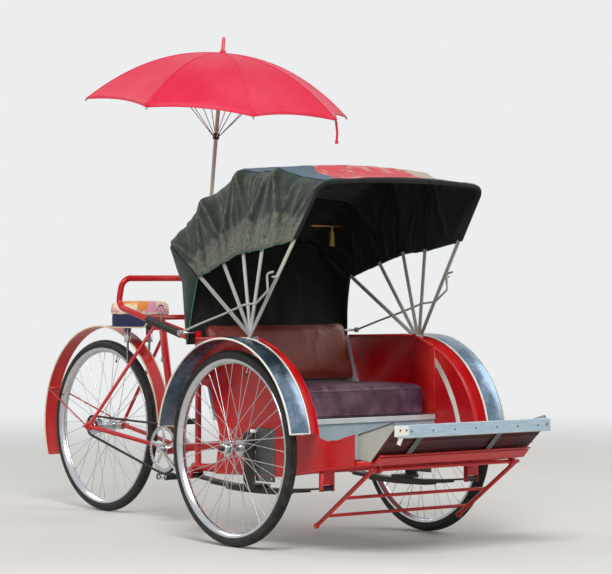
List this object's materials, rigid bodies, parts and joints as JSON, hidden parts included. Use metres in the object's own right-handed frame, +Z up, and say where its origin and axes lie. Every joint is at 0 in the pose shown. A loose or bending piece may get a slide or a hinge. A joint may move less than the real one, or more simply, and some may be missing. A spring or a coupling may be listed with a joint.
{
  "type": "cycle rickshaw",
  "caption": "Pedal-driven passenger rickshaw: wire-wheeled carriage with folding hood in front, steered by a push hoop on a king pin, bicycle half with driven wheel behind.",
  "frame": {"origin": "on the ground under the middle of the bounding box, on the centre plane", "axes": "+X ahead, the way it travels, +Y to its left, +Z up"},
  "size_m": [2.68, 1.056, 1.9165],
  "materials": {
    "red_paint": "gloss enamel",
    "maroon_paint": "satin enamel",
    "steel": "satin",
    "chrome": "bright",
    "aluminium": "satin",
    "galvanised": "satin",
    "black_rubber": "matte",
    "grip_rubber": "matte",
    "green_canvas": "matte",
    "umbrella_cloth": "satin",
    "purple_vinyl": "satin vinyl",
    "brown_vinyl": "satin vinyl",
    "navy_vinyl": "satin vinyl",
    "dark_steel": "oiled",
    "grey_paint": "satin",
    "pole_paint": "satin",
    "maroon_board": "painted"
  },
  "bodies": {
    "bicycle": {"rear_frame": "red_paint", "saddle": "navy_vinyl", "saddle_frame": "steel", "rear_fender": "red_paint", "chain": "dark_steel"},
    "rear_wheel": {"rear_wheel": "chrome", "rear_tyre": "black_rubber"},
    "crank": {"crankset": "steel"},
    "pedal_left": {"left_pedal": "grip_rubber"},
    "pedal_right": {"right_pedal": "grip_rubber"},
    "carriage": {"chassis": "red_paint", "king_pin": "steel", "front_axle": "dark_steel", "leaf_springs": "dark_steel", "side_panels": "red_paint", "seat_box": "galvanised", "floor_pan": "galvanised", "front_board": "maroon_board", "foot_strip": "aluminium", "seat_cushion": "purple_vinyl", "seat_back": "brown_vinyl", "left_fender": "galvanised", "right_fender": "galvanised", "push_hoop": "red_paint", "grips": "grip_rubber", "umbrella_frame": "pole_paint", "umbrella_canopy": "umbrella_cloth", "hood_pivots": "steel"},
    "wheel_left": {"left_wheel": "chrome", "left_tyre": "black_rubber"},
    "wheel_right": {"right_wheel": "chrome", "right_tyre": "black_rubber"},
    "stand": {"stand": "maroon_paint"},
    "bow_5": {"hood_bow_5": "grey_paint", "hood_curtain": "green_canvas", "hood_bay_4": "green_canvas"},
    "bow_4": {"hood_bow_4": "grey_paint", "hood_bay_3": "green_canvas"},
    "bow_3": {"hood_bow_3": "grey_paint", "hood_bay_2": "green_canvas"},
    "bow_2": {"hood_bow_2": "grey_paint", "hood_bay_1": "green_canvas"},
    "bow_1": {"hood_bow_1": "grey_paint"},
    "stay_left": {"left_hood_stay": "grey_paint"},
    "stay_right": {"right_hood_stay": "grey_paint"}
  },
  "joints": [
    {"name": "steering", "type": "hinge", "parent": "bicycle", "child": "carriage", "pos_m": [0.123, 0, 0.49], "axis": [0, 0, 1], "range_deg": [-40, 40]},
    {"name": "rear_wheel_spin", "type": "hinge", "parent": "bicycle", "child": "rear_wheel", "pos_m": [-0.927, 0, 0.3556], "axis": [0, 1, 0], "continuous": true},
    {"name": "crank_spin", "type": "hinge", "parent": "bicycle", "child": "crank", "pos_m": [-0.429, 0, 0.285], "axis": [0, 1, 0], "continuous": true},
    {"name": "left_pedal_spin", "type": "hinge", "parent": "crank", "child": "pedal_left", "pos_m": [-0.56826, 0.136, 0.38251], "axis": [0, 1, 0], "continuous": true},
    {"name": "right_pedal_spin", "type": "hinge", "parent": "crank", "child": "pedal_right", "pos_m": [-0.28974, -0.136, 0.18749], "axis": [0, 1, 0], "continuous": true},
    {"name": "left_wheel_spin", "type": "hinge", "parent": "carriage", "child": "wheel_left", "pos_m": [0.553, 0.463, 0.3556], "axis": [0, 1, 0], "continuous": true},
    {"name": "right_wheel_spin", "type": "hinge", "parent": "carriage", "child": "wheel_right", "pos_m": [0.553, -0.463, 0.3556], "axis": [0, 1, 0], "continuous": true},
    {"name": "stand_swing", "type": "hinge", "parent": "carriage", "child": "stand", "pos_m": [1.185, 0, 0.308], "axis": [0, 1, 0], "range_deg": [-16, 8]},
    {"name": "hood_fold", "type": "hinge", "parent": "carriage", "child": "bow_5", "pos_m": [0.578, 0, 0.745], "axis": [0, -1, 0], "range_deg": [0, 26], "deforming": ["hood_curtain"]},
    {"name": "hood_bow_4_fold", "type": "hinge", "parent": "bow_5", "child": "bow_4", "pos_m": [0.578, 0, 0.745], "axis": [0, -1, 0], "range_deg": [0, 16.7], "deforming": ["hood_bay_4"]},
    {"name": "hood_bow_3_fold", "type": "hinge", "parent": "bow_4", "child": "bow_3", "pos_m": [0.578, 0, 0.745], "axis": [0, -1, 0], "range_deg": [0, 17.7], "deforming": ["hood_bay_3"]},
    {"name": "hood_bow_2_fold", "type": "hinge", "parent": "bow_3", "child": "bow_2", "pos_m": [0.578, 0, 0.745], "axis": [0, -1, 0], "range_deg": [0, 15.7], "deforming": ["hood_bay_2"]},
    {"name": "hood_bow_1_fold", "type": "hinge", "parent": "bow_2", "child": "bow_1", "pos_m": [0.578, 0, 0.745], "axis": [0, -1, 0], "range_deg": [0, 19.2], "deforming": ["hood_bay_1"]},
    {"name": "left_stay_swing", "type": "hinge", "parent": "carriage", "child": "stay_left", "pos_m": [0.181, 0.431, 0.765], "axis": [0, 1, 0], "range_deg": [0, 14]},
    {"name": "right_stay_swing", "type": "hinge", "parent": "carriage", "child": "stay_right", "pos_m": [0.181, -0.431, 0.765], "axis": [0, 1, 0], "range_deg": [0, 14]}
  ],
  "couplings": [
    {"joint": "hood_bow_4_fold", "follows": "hood_fold", "ratio": 0.63462},
    {"joint": "hood_bow_3_fold", "follows": "hood_fold", "ratio": 0.67308},
    {"joint": "hood_bow_2_fold", "follows": "hood_fold", "ratio": 0.59615},
    {"joint": "hood_bow_1_fold", "follows": "hood_fold", "ratio": 0.73077}
  ]
}
